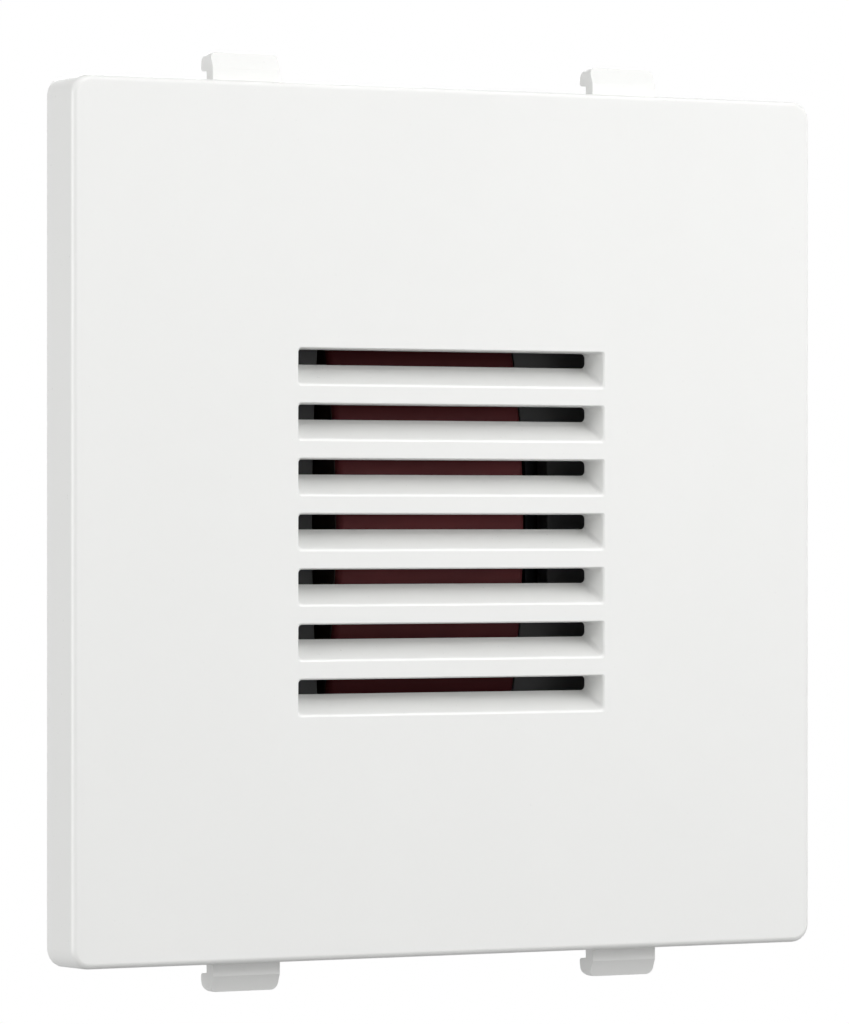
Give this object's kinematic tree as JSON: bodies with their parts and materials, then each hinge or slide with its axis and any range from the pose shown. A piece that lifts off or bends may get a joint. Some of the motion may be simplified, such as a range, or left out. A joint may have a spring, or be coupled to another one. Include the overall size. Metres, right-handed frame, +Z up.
{
  "type": "modular buzzer",
  "caption": "Square modular door buzzer insert: white face with a sloped-slot grille, snap claws above and below, and a dark case behind with a coil, hinged armature and screw terminals.",
  "frame": {"origin": "centre of the square face, on the plane of the cover's back rim, where the module meets its support frame", "axes": "+Z up, +X to the viewer's right, the grille face looks towards -Y and the mechanism case stands out towards +Y"},
  "size_m": [0.045, 0.0174, 0.048],
  "materials": {
    "cover_white": "satin moulded, fine even texture",
    "case_grey": "matt moulded",
    "wrap_red": "dark red insulating wrap",
    "bobbin_black": "matt moulded",
    "copper": "enamelled copper",
    "core_iron": "dark annealed iron",
    "zinc_steel": "zinc plated",
    "spring_steel": "bright rolled strip",
    "terminal_brass": "plain brass",
    "pad_rubber": "soft black rubber",
    "tinned_copper": "tinned strip"
  },
  "bodies": {
    "housing": {"front_cover": "cover_white", "mechanism_plate": "case_grey", "mechanism_case": "case_grey", "plate_screws": "zinc_steel", "coil_wrap": "wrap_red", "coil_bobbin": "bobbin_black", "coil_winding": "copper", "core_laminations": "core_iron", "shading_ring": "copper", "yoke": "zinc_steel", "yoke_screws": "zinc_steel", "armature_pin": "spring_steel", "armature_pad": "pad_rubber", "contact_bar_left": "terminal_brass", "contact_bar_right": "terminal_brass", "coil_lead_left": "tinned_copper", "coil_lead_right": "tinned_copper"},
    "armature": {"armature": "zinc_steel", "armature_spring": "spring_steel", "spring_rivets": "terminal_brass"},
    "screw_left": {"terminal_screw_left": "zinc_steel"},
    "screw_right": {"terminal_screw_right": "zinc_steel"},
    "cage_left": {"terminal_cage_left": "terminal_brass"},
    "cage_right": {"terminal_cage_right": "terminal_brass"}
  },
  "joints": [
    {"name": "armature_swing", "type": "hinge", "parent": "housing", "child": "armature", "pos_m": [0.00745, 0.0097, 0], "axis": [0, 0, -1], "range_deg": [0, 3.6], "stiffness_Nm_per_rad": 0.0008, "springref_deg": -34.38},
    {"name": "screw_turn_left", "type": "hinge", "parent": "housing", "child": "screw_left", "pos_m": [-0.0042, 0.01, -0.0146], "axis": [0, -1, 0], "range_deg": [0, 1800]},
    {"name": "screw_turn_right", "type": "hinge", "parent": "housing", "child": "screw_right", "pos_m": [0.0042, 0.01, -0.0146], "axis": [0, -1, 0], "range_deg": [0, 1800]},
    {"name": "cage_rise_left", "type": "slide", "parent": "housing", "child": "cage_left", "axis": [0, 1, 0], "range_m": [0, 0.0025]},
    {"name": "cage_rise_right", "type": "slide", "parent": "housing", "child": "cage_right", "axis": [0, 1, 0], "range_m": [0, 0.0025]}
  ],
  "couplings": [
    {"joint": "screw_turn_left", "follows": "cage_rise_left", "rad_per_m": 12566},
    {"joint": "screw_turn_right", "follows": "cage_rise_right", "rad_per_m": 12566}
  ]
}
